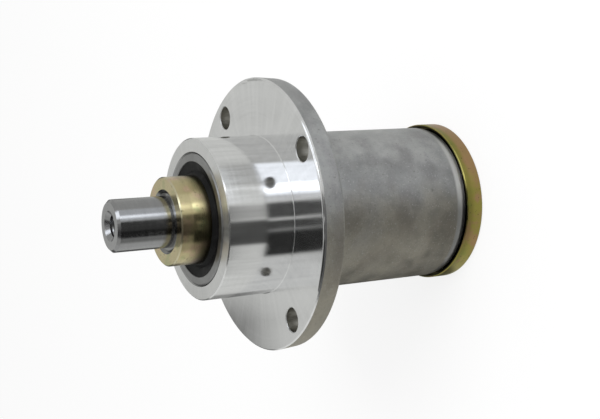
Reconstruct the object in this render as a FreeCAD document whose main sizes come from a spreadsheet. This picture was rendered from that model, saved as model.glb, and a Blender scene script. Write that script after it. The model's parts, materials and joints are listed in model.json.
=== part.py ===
import FreeCAD, Part
import math
import os
import re

import Sketcher

# Mower deck spindle: a flanged aluminium housing that carries a blade shaft in two tapered
# roller bearings, with a rubber-lipped oil seal at each end and a grease fitting on the barrel.
#
# Millimetres. +Z runs up the shaft towards the pulley stub. The origin is the centre of the
# flange's machined face, which bolts up against the mower deck, so the boss and the stub stand
# above z = 0, and the barrel and its dust cap hang below. +Y is the side of the grease fitting.

# Driving sizes, in millimetres and degrees. Each is a cell of the sheet "Sizes".
SIZES = {
    # Housing flange
    "flange_thickness": 11.1,
    "flange_chamfer": 0.6,
    "flange_draft": 4.0,
    "flange_back_round": 1.5,
    "bolt_circle_dia": 119.0,
    "bolt_edge": 9.5,
    "bolt_hole_dia": 12.0,
    "bolt_hole_break": 0.4,
    "bolt_count": 4,
    "bolt_clocking": 45.0,
    # Pilot boss above the flange
    "boss_dia": 80.0,
    "boss_height": 34.2,
    "boss_chamfer": 0.5,
    "boss_foot_round": 0.3,
    # Barrel below the flange, and the spigot that the dust cap shrouds
    "barrel_length": 90.3,
    "barrel_root_round": 3.5,
    "barrel_nose_length": 3.3,
    "barrel_nose_inset": 0.75,
    "barrel_nose_round": 12.0,
    "spigot_wall": 4.25,
    "spigot_step": 3.7,
    "spigot_length": 2.6,
    "spigot_chamfer": 0.8,
    # Cored grease cavity between the two bearing seats
    "land_height": 3.565,
    "land_depth": 5.0,
    "cavity_step": 5.0,
    # Seats: the hair's breadth left between pieces that are pressed together
    "seat_gap": 0.01,
    # Oil seals
    "seal_step": 2.985,
    "seal_width": 8.0,
    "seal_proud": 0.3,
    "seal_gap": 1.5,
    "seal_bore_chamfer": 0.8,
    "case_sheet": 1.2,
    "case_corner": 0.6,
    "case_bend": 0.45,
    "case_rim": 4.05,
    "rubber_recess": 0.5,
    "rubber_seat_depth": 1.6,
    "rubber_wrap": 0.7,
    "rim_dish_width": 1.5,
    "rim_dish_depth": 0.9,
    "dish_width": 1.5,
    "dish_depth": 1.5,
    "lip_gap": 0.05,
    "lip_root": 3.2,
    "dust_lip_proud": 0.3,
    "dust_lip_tip": 0.7,
    "dust_lip_root": 1.2,
    "dust_lip_length": 2.6,
    "neck_inset": 0.1,
    "neck_slope": 0.2,
    "lip_flank_width": 1.5,
    "lip_flank_rise": 2.8,
    "lip_edge_rise": 0.6,
    "lip_toe_width": 1.9,
    "garter_ring": 2.9,
    "garter_depth": 6.4,
    "garter_coil_dia": 1.4,
    "garter_gap": 0.05,
    "bead_cover": 0.5,
    "bead_height": 1.8,
    "bead_slope": 0.3,
    # Tapered roller bearings
    "bearing_dia": 59.13,
    "cup_width": 11.8,
    "cup_share": 0.263,
    "cup_corner": 1.0,
    "cup_angle": 13.0,
    "cone_width": 16.75,
    "cone_reach": 0.875,
    "cone_share": 0.3042,
    "cone_corner": 1.2,
    "cone_rib": 3.0,
    "rib_height": 2.2,
    "front_rib_height": 0.9,
    "roller_length": 11.6,
    "roller_corner": 0.35,
    "roller_spacing": 2.2,
    "race_gap": 0.03,
    "rib_gap": 0.08,
    "front_rib_gap": 0.25,
    "cage_lift": 0.7,
    "cage_sheet": 0.8,
    "cage_overhang": 1.3,
    "cage_end_gap": 0.3,
    "cage_fold": 1.0,
    "window_gap": 0.12,
    # Spacer tube between the two cones
    "spacer_wall": 2.5,
    "spacer_gap": 0.15,
    "spacer_chamfer": 0.4,
    # Seal collars
    "collar_wall": 7.5125,
    "collar_stand": 15.9,
    "collar_mouth": 1.5,
    "collar_edge": 0.6,
    "collar_lead": 1.0,
    # Shaft
    "stub_dia": 25.4,
    "stub_length": 28.6,
    "stub_chamfer": 1.3,
    "stub_shoulder": 1.5875,
    "collar_shoulder": 1.5875,
    "shoulder_recess": 0.8,
    "shoulder_break": 0.3,
    "step_recess": 0.5,
    "seat_break": 0.5,
    "seat_length": 19.0,
    "shaft_relief": 0.35,
    "pulley_thread_dia": 10.8,
    "pulley_thread_depth": 28.0,
    "pulley_mouth_step": 2.05,
    "blade_thread_dia": 13.6,
    "blade_thread_depth": 40.0,
    "blade_mouth_step": 2.2,
    "mouth_angle": 90.0,
    "drill_angle": 118.0,
    # Dust cap
    "cap_overhang": 1.65,
    "cap_height": 10.0,
    "cap_wall": 1.4,
    "cap_lap": 0.3,
    "cap_floor_gap": 0.8,
    "cap_rim_chamfer": 0.4,
    "cap_base_chamfer": 0.8,
    "shaft_end_recess": 0.6,
    # Grease fitting and its port in the barrel wall
    "port_drop": 46.0,
    "port_dia": 6.35,
    "spot_face_dia": 14.0,
    "spot_face_depth": 0.7,
    "nipple_stem": 6.0,
    "nipple_stem_lead": 0.6,
    "nipple_hex": 8.0,
    "nipple_hex_height": 3.2,
    "nipple_neck_dia": 4.7,
    "nipple_neck_lead": 0.3,
    "nipple_neck_length": 1.7,
    "nipple_head_dia": 6.6,
    "nipple_head_flare": 1.1,
    "nipple_head_band": 0.7,
    "nipple_head_nose": 1.8,
    "nipple_face_width": 0.9,
    "nipple_outlet_dia": 1.6,
    "check_ball_dia": 2.3,
    "ball_side_gap": 0.1,
    "ball_seat_land": 0.1,
    "ball_seat_depth": 0.6,
    "ball_seat_gap": 0.04,
}

# Stations and angles worked out from the sizes. Each is a formula in the sheet "Layout".
LAYOUT = {
    "collar_seat_dia": "stub_dia + 2 * stub_shoulder",
    "bearing_bore": "collar_seat_dia + 2 * collar_shoulder",
    "collar_dia": "collar_seat_dia + 2 * collar_wall",
    "bearing_width": "cone_width - cone_reach",
    "seal_dia": "bearing_dia + 2 * seal_step",
    "rubber_dia": "seal_dia - 2 * case_rim",
    "land_dia": "bearing_dia - 2 * land_height",
    "cavity_dia": "land_dia + 2 * cavity_step",
    "spigot_dia": "seal_dia + 2 * spigot_wall",
    "barrel_dia": "spigot_dia + 2 * spigot_step",
    "cap_dia": "barrel_dia + 2 * cap_overhang",
    "cap_inner_radius": "cap_dia / 2 - cap_wall",
    "flange_dia": "bolt_circle_dia + 2 * bolt_edge",
    "lip_radius": "collar_dia / 2 + lip_gap",
    "seal_bore_radius": "seal_dia / 2 + seat_gap",
    "cup_bore_radius": "bearing_dia / 2 + seat_gap",
    "case_inner_radius": "lip_radius + lip_root",
    "upper_seal_face": "boss_height + seal_proud",
    "upper_seal_inner": "upper_seal_face - seal_width",
    "upper_cone_back": "upper_seal_inner - seal_gap",
    "upper_cup_back": "upper_cone_back - bearing_width",
    "barrel_shoulder": "-(flange_thickness + barrel_length)",
    "housing_end": "barrel_shoulder - spigot_length",
    "barrel_nose": "barrel_shoulder + barrel_nose_length",
    "lower_seal_inner": "housing_end + seal_width",
    "lower_cone_back": "lower_seal_inner + seal_gap",
    "lower_cup_back": "lower_cone_back + bearing_width",
    "spacer_top": "upper_cup_back - cone_reach",
    "spacer_bottom": "lower_cup_back + cone_reach",
    "collar_top": "boss_height + collar_stand",
    "cap_rim": "barrel_shoulder + cap_lap",
    "cap_base": "cap_rim - cap_height",
    "cap_floor": "housing_end - cap_floor_gap",
    "shoulder_top": "collar_top - shoulder_recess",
    "stub_top": "shoulder_top + stub_length",
    "shaft_end": "cap_base + shaft_end_recess",
    "upper_step": "upper_cone_back - step_recess",
    "lower_step": "lower_cone_back + step_recess",
    "flange_back_radius": "flange_dia / 2 - (flange_thickness - flange_chamfer) * tan(flange_draft)",
    "bolt_across": "bolt_circle_dia / 2 * cos(bolt_clocking)",
    "bolt_along": "bolt_circle_dia / 2 * sin(bolt_clocking)",
    "spot_face_plane": "barrel_dia / 2 - spot_face_depth",
    "nipple_passage_dia": "check_ball_dia + 2 * ball_side_gap",
    "nipple_mouth_dia": "check_ball_dia - 2 * ball_seat_land",
    "nipple_neck_top": "nipple_hex_height + nipple_neck_length",
    "nipple_head_back": "nipple_neck_top + nipple_head_flare",
    "nipple_tip": "nipple_head_back + nipple_head_band + nipple_head_nose",
    "ball_seat_angle": "atan((nipple_passage_dia - nipple_mouth_dia) / 2 / ball_seat_depth) / 1 deg",
    "ball_seat_rise": "nipple_mouth_dia / 2 * cos(ball_seat_angle)",
    "ball_drop": "(check_ball_dia / 2 + ball_seat_gap - ball_seat_rise) / sin(ball_seat_angle)",
    # The raceways and every roller's axis meet in one apex on the shaft's centre line. Heights
    # here are measured from the cup's thick end, and the apex lies far on its other side.
    "bearing_section": "(bearing_dia - bearing_bore) / 2",
    "cup_race_radius": "bearing_dia / 2 - cup_share * bearing_section",
    "cone_race_radius": "bearing_bore / 2 + cone_share * bearing_section",
    "cone_angle": "asin(cone_race_radius / cup_race_radius * sin(cup_angle)) / 1 deg",
    "roller_taper": "(cup_angle - cone_angle) / 2",
    "roller_tilt": "(cup_angle + cone_angle) / 2",
    "race_slant": "cup_race_radius / sin(cup_angle)",
    "roller_far": "race_slant * cos(roller_taper)",
    "roller_near": "roller_far - roller_length",
    "roller_far_radius": "roller_far * tan(roller_taper)",
    "roller_near_radius": "roller_near * tan(roller_taper)",
    "apex_height": "bearing_width - cone_rib - race_slant * cos(cone_angle)",
    "roller_pitch_length": "2 * pi * roller_far * sin(roller_tilt)",
    "roller_count": "floor(roller_pitch_length / (2 * roller_far_radius + roller_spacing))",
}

FUNCTIONS = ("sin", "cos", "tan", "asin", "atan", "floor", "pi", "deg")

# Ends of the spindle. A lower piece is its upper twin turned end for end about the X axis.
UPRIGHT = FreeCAD.Rotation()
TURNED_OVER = FreeCAD.Rotation(FreeCAD.Vector(1, 0, 0), 180)
OUT_OF_BARREL = FreeCAD.Rotation(FreeCAD.Vector(1, 0, 0), -90)


def bound(formula):
    """Writes a formula's plain names as the cells that hold them."""
    def cell(match):
        name = match.group()
        if name in SIZES:
            return "Sizes." + name
        if name in LAYOUT:
            return "Layout." + name
        if name in FUNCTIONS:
            return name
        raise KeyError(name)
    return re.sub(r"[a-z][a-z_]*", cell, formula)


def make_sheet(doc, name, rows):
    """Makes a sheet with one row for each name: its words in column A, its value in column B."""
    sheet = doc.addObject("Spreadsheet::Sheet", name)
    for row, (alias, content) in enumerate(rows.items(), start=1):
        sheet.set("A%d" % row, alias.replace("_", " "))
        sheet.set("B%d" % row, content)
        sheet.setAlias("B%d" % row, alias)
    return sheet


def origin_feature(body, role):
    """Finds one of a body's own origin planes or axes by its role."""
    for feature in body.Origin.OriginFeatures:
        if feature.Role == role:
            return feature
    raise ValueError(role)


def add_body(doc, node):
    """Starts a body whose label names its node."""
    body = doc.addObject("PartDesign::Body", "Body_" + node)
    body.Label = node
    return body


def place(piece, height, rotation=UPRIGHT):
    """Stands a piece at a height on the shaft's axis, upright or turned over."""
    piece.Placement = FreeCAD.Placement(FreeCAD.Vector(0, 0, 0), rotation)
    piece.setExpression("Placement.Base.z", bound(height))


def add_sketch(body, name, role):
    """Starts a sketch on one of its body's own origin planes."""
    sketch = body.newObject("Sketcher::SketchObject", name)
    sketch.AttachmentSupport = (origin_feature(body, role), [""])
    sketch.MapMode = "FlatFace"
    return sketch


def pin_point(sketch, geometry, corner, point, start):
    """Fixes one point of a sketch by formulas for its two coordinates."""
    for kind, formula, value in (("DistanceX", point[0], start.x), ("DistanceY", point[1], start.y)):
        number = sketch.addConstraint(Sketcher.Constraint(kind, -1, 1, geometry, corner, value))
        sketch.setExpression("Constraints[%d]" % number, bound(formula))


def draw_outline(sketch, corners):
    """Draws a closed outline of straight edges through corners given as pairs of formulas."""
    count = len(corners)
    starts = []
    for number in range(count):
        turn = 2 * math.pi * number / count
        starts.append(FreeCAD.Vector(math.cos(turn), math.sin(turn), 0))
    for number in range(count):
        edge = Part.LineSegment(starts[number], starts[(number + 1) % count])
        sketch.addGeometry(edge, False)
    for number in range(count):
        sketch.addConstraint(Sketcher.Constraint("Coincident", number, 2, (number + 1) % count, 1))
    for number, corner in enumerate(corners):
        pin_point(sketch, number, 1, corner, starts[number])


def draw_axis(sketch, first, last):
    """Draws the centre line that a section turns about, along two corners of its outline."""
    number = sketch.addGeometry(Part.LineSegment(FreeCAD.Vector(), FreeCAD.Vector(1, 1, 0)), True)
    sketch.addConstraint(Sketcher.Constraint("Coincident", number, 1, first, 1))
    sketch.addConstraint(Sketcher.Constraint("Coincident", number, 2, last, 1))


def draw_circle(sketch, across, along, diameter):
    """Draws a circle with formulas for its centre and its diameter."""
    number = sketch.addGeometry(Part.Circle(FreeCAD.Vector(), FreeCAD.Vector(0, 0, 1), 1), False)
    pin_point(sketch, number, 3, (across, along), FreeCAD.Vector())
    radius = sketch.addConstraint(Sketcher.Constraint("Diameter", number, 2))
    sketch.setExpression("Constraints[%d]" % radius, bound(diameter))


def turn(body, name, corners):
    """Turns a section, drawn as radius and height, about the shaft's axis."""
    sketch = add_sketch(body, name + "Section", "XZ_Plane")
    draw_outline(sketch, corners)
    feature = body.newObject("PartDesign::Revolution", name)
    feature.Profile = sketch
    feature.ReferenceAxis = (sketch, ["V_Axis"])
    return feature


def around_the_shaft(body, name, feature, count):
    """Repeats a feature evenly around the shaft's axis."""
    pattern = body.newObject("PartDesign::PolarPattern", name)
    pattern.Originals = [feature]
    pattern.Axis = (origin_feature(body, "Z_Axis"), [""])
    pattern.Angle = 360
    pattern.setExpression("Occurrences", bound(count))
    body.Tip = pattern
    return pattern


def rings(shape, radius, height):
    """Names the circular edges of one radius whose centres lie at one height."""
    names = []
    for number, edge in enumerate(shape.Edges, start=1):
        curve = edge.Curve
        if not isinstance(curve, Part.Circle):
            continue
        if abs(curve.Radius - radius) < 0.01 and abs(curve.Center.z - height) < 0.01:
            names.append("Edge%d" % number)
    if not names:
        raise ValueError("no edge of radius %.3f at height %.3f" % (radius, height))
    return names


def dress(body, kind, name, radius, height, amount):
    """Rounds or chamfers the edges of one radius at one height on a body's last feature."""
    body.Document.recompute()
    base = body.Tip
    feature = body.newObject("PartDesign::" + kind, name)
    feature.Base = (base, rings(base.Shape, radius, height))
    feature.setExpression("Radius" if kind == "Fillet" else "Size", bound(amount))
    body.Tip = feature
    return feature


def along_roller(along, aside):
    """A corner measured from the apex along the roller's own axis, and square to that axis."""
    radius = "(%s) * sin(roller_tilt) + (%s) * cos(roller_tilt)" % (along, aside)
    height = "apex_height + (%s) * cos(roller_tilt) - (%s) * sin(roller_tilt)" % (along, aside)
    return (radius, height)


def make_housing(doc, sheet, layout):
    """The housing is one casting: flange, pilot boss, barrel, and machined bores."""
    body = add_body(doc, "spindle_housing")
    turn(body, "Casting", [
        ("seal_bore_radius + seal_bore_chamfer", "boss_height"),
        ("boss_dia / 2 - boss_chamfer", "boss_height"),
        ("boss_dia / 2", "boss_height - boss_chamfer"),
        ("boss_dia / 2", "0"),
        ("flange_dia / 2 - flange_chamfer", "0"),
        ("flange_dia / 2", "-flange_chamfer"),
        ("flange_back_radius", "-flange_thickness"),
        ("barrel_dia / 2", "-flange_thickness"),
        ("barrel_dia / 2", "barrel_nose"),
        ("barrel_dia / 2 - barrel_nose_inset", "barrel_shoulder"),
        ("spigot_dia / 2", "barrel_shoulder"),
        ("spigot_dia / 2", "housing_end + spigot_chamfer"),
        ("spigot_dia / 2 - spigot_chamfer", "housing_end"),
        ("seal_bore_radius + seal_bore_chamfer", "housing_end"),
        ("seal_bore_radius", "housing_end + seal_bore_chamfer"),
        ("seal_bore_radius", "lower_seal_inner"),
        ("cup_bore_radius", "lower_seal_inner"),
        ("cup_bore_radius", "lower_cup_back"),
        ("land_dia / 2", "lower_cup_back"),
        ("land_dia / 2", "lower_cup_back + land_depth"),
        ("cavity_dia / 2", "lower_cup_back + land_depth + cavity_step"),
        ("cavity_dia / 2", "upper_cup_back - land_depth - cavity_step"),
        ("land_dia / 2", "upper_cup_back - land_depth"),
        ("land_dia / 2", "upper_cup_back"),
        ("cup_bore_radius", "upper_cup_back"),
        ("cup_bore_radius", "upper_seal_inner"),
        ("seal_bore_radius", "upper_seal_inner"),
        ("seal_bore_radius", "boss_height - seal_bore_chamfer"),
    ])

    hole_sketch = add_sketch(body, "BoltHoleSection", "XY_Plane")
    draw_circle(hole_sketch, "bolt_across", "bolt_along", "bolt_hole_dia")
    hole = body.newObject("PartDesign::Pocket", "BoltHole")
    hole.Profile = hole_sketch
    hole.Type = "ThroughAll"
    around_the_shaft(body, "BoltHoles", hole, "bolt_count")

    spot_sketch = add_sketch(body, "SpotFaceSection", "XZ_Plane")
    spot_sketch.setExpression(".AttachmentOffset.Base.z", bound("-spot_face_plane"))
    draw_circle(spot_sketch, "0", "-port_drop", "spot_face_dia")
    spot = body.newObject("PartDesign::Pocket", "SpotFace")
    spot.Profile = spot_sketch
    spot.Type = "ThroughAll"

    port_sketch = add_sketch(body, "GreasePortSection", "XZ_Plane")
    draw_circle(port_sketch, "0", "-port_drop", "port_dia")
    port = body.newObject("PartDesign::Pocket", "GreasePort")
    port.Profile = port_sketch
    port.Type = "ThroughAll"

    barrel_radius = layout.get("barrel_dia") / 2
    flange_back = -sheet.get("flange_thickness")
    dress(body, "Fillet", "BarrelRoot", barrel_radius, flange_back, "barrel_root_round")
    dress(body, "Fillet", "BarrelNose", barrel_radius, layout.get("barrel_nose"), "barrel_nose_round")
    dress(body, "Fillet", "FlangeBack", layout.get("flange_back_radius"), flange_back, "flange_back_round")
    dress(body, "Fillet", "BossFoot", sheet.get("boss_dia") / 2, 0, "boss_foot_round")
    dress(body, "Chamfer", "BoltHoleBreak", sheet.get("bolt_hole_dia") / 2, 0, "bolt_hole_break")
    return body


def make_seal(doc, layout, end, height, rotation):
    """One oil seal: a pressed steel case, the rubber moulded into it, and its garter spring.

    Heights are measured from the seal's outer face, and the seal reaches inwards, below it.
    """
    case = add_body(doc, end + "_seal_case")
    turn(case, "PressedCase", [
        ("seal_dia / 2 - case_corner", "0"),
        ("rubber_dia / 2", "0"),
        ("rubber_dia / 2", "-rubber_seat_depth"),
        ("case_inner_radius", "-rubber_seat_depth"),
        ("case_inner_radius", "-rubber_seat_depth - case_sheet"),
        ("rubber_dia / 2 + case_sheet", "-rubber_seat_depth - case_sheet"),
        ("rubber_dia / 2 + case_sheet", "-case_sheet"),
        ("seal_dia / 2 - case_sheet", "-case_sheet"),
        ("seal_dia / 2 - case_sheet", "-seal_width"),
        ("seal_dia / 2 - case_corner", "-seal_width"),
        ("seal_dia / 2", "-seal_width + case_corner"),
        ("seal_dia / 2", "-case_corner"),
    ])
    dress(case, "Fillet", "RimBend", layout.get("rubber_dia") / 2, 0, "case_bend")
    place(case, height, rotation)

    wrap = "-rubber_seat_depth - case_sheet"
    bead_radius = "lip_radius + garter_ring + bead_cover"
    neck_radius = "lip_radius + garter_ring - neck_inset"
    lip_edge = "lip_edge_rise - garter_depth"
    lip = add_body(doc, end + "_seal_lip")
    turn(lip, "MouldedRubber", [
        ("rubber_dia / 2", "-rubber_recess"),
        ("rubber_dia / 2", "-rubber_seat_depth"),
        ("case_inner_radius", "-rubber_seat_depth"),
        ("case_inner_radius", wrap),
        ("case_inner_radius + case_sheet", wrap),
        ("case_inner_radius + case_sheet", wrap + " - rubber_wrap"),
        (neck_radius, wrap + " - rubber_wrap - neck_slope"),
        (neck_radius, "bead_height / 2 + bead_slope - garter_depth"),
        (bead_radius, "bead_height / 2 - garter_depth"),
        (bead_radius, "-bead_height / 2 - garter_depth"),
        ("lip_radius + lip_toe_width", "-bead_height / 2 - bead_slope - garter_depth"),
        ("lip_radius", lip_edge),
        ("lip_radius + lip_flank_width", lip_edge + " + lip_flank_rise"),
        ("lip_radius + dust_lip_root", "dust_lip_proud - dust_lip_length"),
        ("lip_radius", "dust_lip_proud"),
        ("lip_radius + dust_lip_tip", "dust_lip_proud"),
        ("lip_radius + dust_lip_tip + dish_width", "-dish_depth"),
        ("rubber_dia / 2 - rim_dish_width", "-rim_dish_depth"),
    ])
    groove_sketch = add_sketch(lip, "GarterGrooveSection", "XZ_Plane")
    groove_dia = "garter_coil_dia + 2 * garter_gap"
    draw_circle(groove_sketch, "lip_radius + garter_ring", "-garter_depth", groove_dia)
    groove = lip.newObject("PartDesign::Groove", "GarterGroove")
    groove.Profile = groove_sketch
    groove.ReferenceAxis = (groove_sketch, ["V_Axis"])
    place(lip, height, rotation)

    spring = doc.addObject("Part::Torus", "Torus_" + end + "_garter_spring")
    spring.Label = end + "_garter_spring"
    spring.setExpression("Radius1", bound("lip_radius + garter_ring"))
    spring.setExpression("Radius2", bound("garter_coil_dia / 2"))
    inward = -1 if rotation is UPRIGHT else 1
    place(spring, "%s + %d * garter_depth" % (height, inward))
    return [case, lip, spring]


def make_bearing(doc, end, height, rotation):
    """One tapered roller bearing: cup, cone, its ring of rollers, and their pressed cage.

    Heights are measured from the cup's thick end, and the cone's thick end is above it.
    """
    cup = add_body(doc, end + "_bearing_cup")
    cup_race = "(%s - apex_height) * tan(cup_angle) + race_gap"
    turn(cup, "CupRing", [
        (cup_race % "0", "0"),
        ("bearing_dia / 2 - cup_corner", "0"),
        ("bearing_dia / 2", "cup_corner"),
        ("bearing_dia / 2", "cup_width - cup_corner / 2"),
        ("bearing_dia / 2 - cup_corner / 2", "cup_width"),
        (cup_race % "cup_width", "cup_width"),
    ])
    place(cup, height, rotation)

    cone = add_body(doc, end + "_bearing_cone")
    front_rib_top = along_roller("roller_near - front_rib_gap", "front_rib_height - roller_near_radius")
    back_rib_top = along_roller("roller_far + rib_gap", "rib_height - roller_far_radius")
    turn(cone, "ConeRing", [
        ("bearing_bore / 2 + seat_gap + cone_corner / 2", "-cone_reach"),
        (front_rib_top[0], "-cone_reach"),
        front_rib_top,
        along_roller("roller_near - front_rib_gap", "-(roller_near_radius + race_gap)"),
        along_roller("roller_far + rib_gap", "-(roller_far_radius + race_gap)"),
        back_rib_top,
        (back_rib_top[0], "bearing_width"),
        ("bearing_bore / 2 + seat_gap + cone_corner", "bearing_width"),
        ("bearing_bore / 2 + seat_gap", "bearing_width - cone_corner"),
        ("bearing_bore / 2 + seat_gap", "cone_corner / 2 - cone_reach"),
    ])
    place(cone, height, rotation)

    rollers = add_body(doc, end + "_rollers")
    rollers.AllowCompound = True
    section = add_sketch(rollers, "RollerSection", "XZ_Plane")
    draw_outline(section, [
        along_roller("roller_near", "0"),
        along_roller("roller_near", "roller_near_radius - roller_corner"),
        along_roller("roller_near + roller_corner", "(roller_near + roller_corner) * tan(roller_taper)"),
        along_roller("roller_far - roller_corner", "(roller_far - roller_corner) * tan(roller_taper)"),
        along_roller("roller_far", "roller_far_radius - roller_corner"),
        along_roller("roller_far", "0"),
    ])
    draw_axis(section, 0, 5)
    roller = rollers.newObject("PartDesign::Revolution", "Roller")
    roller.Profile = section
    roller.ReferenceAxis = (section, ["Axis0"])
    around_the_shaft(rollers, "RollerRing", roller, "roller_count")
    place(rollers, height, rotation)

    cage = add_body(doc, end + "_roller_cage")
    turn(cage, "PressedShell", [
        along_roller("roller_near - cage_overhang", "-cage_fold"),
        along_roller("roller_near - cage_overhang", "cage_lift + cage_sheet"),
        along_roller("roller_far + cage_overhang", "cage_lift + cage_sheet"),
        along_roller("roller_far + cage_overhang", "cage_lift"),
        along_roller("roller_near - cage_end_gap", "cage_lift"),
        along_roller("roller_near - cage_end_gap", "-cage_fold"),
    ])
    window_section = add_sketch(cage, "WindowSection", "XZ_Plane")
    draw_outline(window_section, [
        along_roller("roller_near - window_gap", "0"),
        along_roller("roller_near - window_gap", "roller_near_radius + window_gap"),
        along_roller("roller_far + window_gap", "roller_far_radius + window_gap"),
        along_roller("roller_far + window_gap", "0"),
    ])
    draw_axis(window_section, 0, 3)
    window = cage.newObject("PartDesign::Groove", "Window")
    window.Profile = window_section
    window.ReferenceAxis = (window_section, ["Axis0"])
    around_the_shaft(cage, "Windows", window, "roller_count")
    place(cage, height, rotation)
    return [cup, cone, rollers, cage]


def make_shaft(doc):
    """The shaft: bearing seats, smaller collar seats at both ends, the pulley stub, and a tapped
    hole with a countersunk mouth in each end."""
    body = add_body(doc, "spindle_shaft")
    pulley_mouth_depth = "pulley_mouth_step / tan(mouth_angle / 2)"
    blade_mouth_depth = "blade_mouth_step / tan(mouth_angle / 2)"
    turn(body, "TurnedBar", [
        ("0", "stub_top - pulley_thread_depth - pulley_thread_dia / 2 / tan(drill_angle / 2)"),
        ("pulley_thread_dia / 2", "stub_top - pulley_thread_depth"),
        ("pulley_thread_dia / 2", "stub_top - " + pulley_mouth_depth),
        ("pulley_thread_dia / 2 + pulley_mouth_step", "stub_top"),
        ("stub_dia / 2 - stub_chamfer", "stub_top"),
        ("stub_dia / 2", "stub_top - stub_chamfer"),
        ("stub_dia / 2", "shoulder_top"),
        ("collar_seat_dia / 2 - shoulder_break", "shoulder_top"),
        ("collar_seat_dia / 2", "shoulder_top - shoulder_break"),
        ("collar_seat_dia / 2", "upper_step"),
        ("bearing_bore / 2 - seat_break", "upper_step"),
        ("bearing_bore / 2", "upper_step - seat_break"),
        ("bearing_bore / 2", "upper_step - seat_length"),
        ("bearing_bore / 2 - shaft_relief", "upper_step - seat_length - shaft_relief"),
        ("bearing_bore / 2 - shaft_relief", "lower_step + seat_length + shaft_relief"),
        ("bearing_bore / 2", "lower_step + seat_length"),
        ("bearing_bore / 2", "lower_step + seat_break"),
        ("bearing_bore / 2 - seat_break", "lower_step"),
        ("collar_seat_dia / 2", "lower_step"),
        ("collar_seat_dia / 2", "shaft_end + seat_break"),
        ("collar_seat_dia / 2 - seat_break", "shaft_end"),
        ("blade_thread_dia / 2 + blade_mouth_step", "shaft_end"),
        ("blade_thread_dia / 2", "shaft_end + " + blade_mouth_depth),
        ("blade_thread_dia / 2", "shaft_end + blade_thread_depth"),
        ("0", "shaft_end + blade_thread_depth + blade_thread_dia / 2 / tan(drill_angle / 2)"),
    ])
    return body


def make_upper_collar(doc):
    """The collar that the pulley clamps down on: the upper seal's lips run on it."""
    body = add_body(doc, "upper_collar")
    turn(body, "TurnedCollar", [
        ("collar_seat_dia / 2 + seat_gap", "upper_cone_back"),
        ("collar_dia / 2 - collar_lead", "upper_cone_back"),
        ("collar_dia / 2", "upper_cone_back + collar_lead"),
        ("collar_dia / 2", "collar_top - collar_edge"),
        ("collar_dia / 2 - collar_edge", "collar_top"),
        ("collar_seat_dia / 2 + seat_gap + collar_mouth", "collar_top"),
        ("collar_seat_dia / 2 + seat_gap", "collar_top - collar_mouth"),
    ])
    return body


def make_lower_collar(doc):
    """The short collar between the lower bearing and the dust cap, inside the lower seal."""
    body = add_body(doc, "lower_collar")
    turn(body, "TurnedCollar", [
        ("collar_seat_dia / 2 + seat_gap", "cap_floor"),
        ("collar_dia / 2 - collar_edge", "cap_floor"),
        ("collar_dia / 2", "cap_floor + collar_edge"),
        ("collar_dia / 2", "lower_cone_back - collar_lead"),
        ("collar_dia / 2 - collar_lead", "lower_cone_back"),
        ("collar_seat_dia / 2 + seat_gap", "lower_cone_back"),
    ])
    return body


def make_spacer(doc):
    """The tube that keeps the two cones apart, so that the stack can be clamped tight."""
    body = add_body(doc, "bearing_spacer")
    inner = "bearing_bore / 2 + spacer_gap"
    outer = inner + " + spacer_wall"
    turn(body, "SpacerTube", [
        (inner, "spacer_bottom"),
        (outer + " - spacer_chamfer", "spacer_bottom"),
        (outer, "spacer_bottom + spacer_chamfer"),
        (outer, "spacer_top - spacer_chamfer"),
        (outer + " - spacer_chamfer", "spacer_top"),
        (inner, "spacer_top"),
    ])
    return body


def make_dust_cap(doc):
    """The cap on the blade side: its rim shrouds the housing's spigot, and the blade seats on
    its base."""
    body = add_body(doc, "dust_cap")
    bore = "collar_seat_dia / 2 + seat_gap"
    turn(body, "TurnedCap", [
        (bore + " + cap_base_chamfer", "cap_base"),
        ("cap_dia / 2 - cap_base_chamfer", "cap_base"),
        ("cap_dia / 2", "cap_base + cap_base_chamfer"),
        ("cap_dia / 2", "cap_rim - cap_rim_chamfer"),
        ("cap_dia / 2 - cap_rim_chamfer", "cap_rim"),
        ("cap_inner_radius + cap_rim_chamfer", "cap_rim"),
        ("cap_inner_radius", "cap_rim - cap_rim_chamfer"),
        ("cap_inner_radius", "cap_floor"),
        (bore, "cap_floor"),
        (bore, "cap_base + cap_base_chamfer"),
    ])
    return body


def stand_on_barrel(piece):
    """Points a piece's own +Z out of the barrel, from the port's spot face."""
    piece.Placement = FreeCAD.Placement(FreeCAD.Vector(0, 0, 0), OUT_OF_BARREL)
    piece.setExpression("Placement.Base.y", bound("spot_face_plane"))
    piece.setExpression("Placement.Base.z", bound("-port_drop"))


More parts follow.
